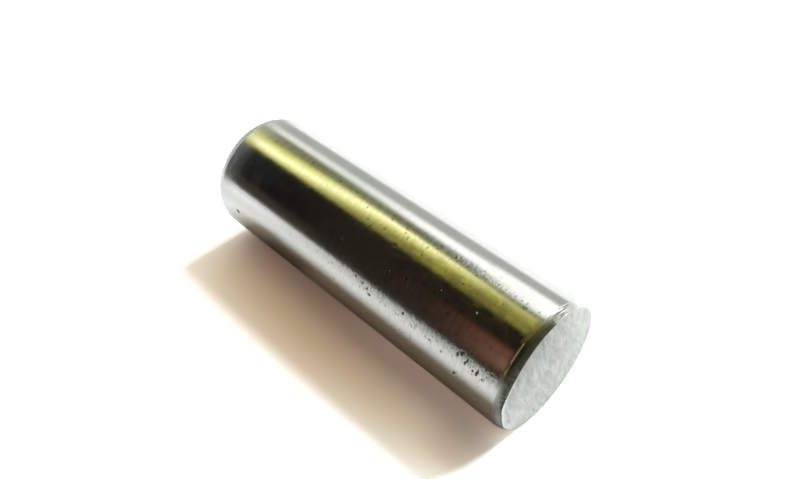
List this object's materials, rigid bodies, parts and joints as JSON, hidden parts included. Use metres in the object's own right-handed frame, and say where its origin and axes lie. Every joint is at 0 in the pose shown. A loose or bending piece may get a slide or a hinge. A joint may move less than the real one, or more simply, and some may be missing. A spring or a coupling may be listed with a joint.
{
  "type": "piston pin",
  "caption": "Solid round steel pin with a ground barrel, shallow lead-in tapers and flat end faces, used as a sliding pivot in a piston.",
  "frame": {"origin": "centre of the lower end face, on which the pin stands", "axes": "+Z along the pin's axis, from the lower end face up to the end face that the picture shows"},
  "size_m": [0.016, 0.016, 0.048],
  "materials": {
    "steel": "barrel ground and polished, end faces cut and matte"
  },
  "bodies": {
    "root": {"pin": "steel"}
  },
  "joints": []
}
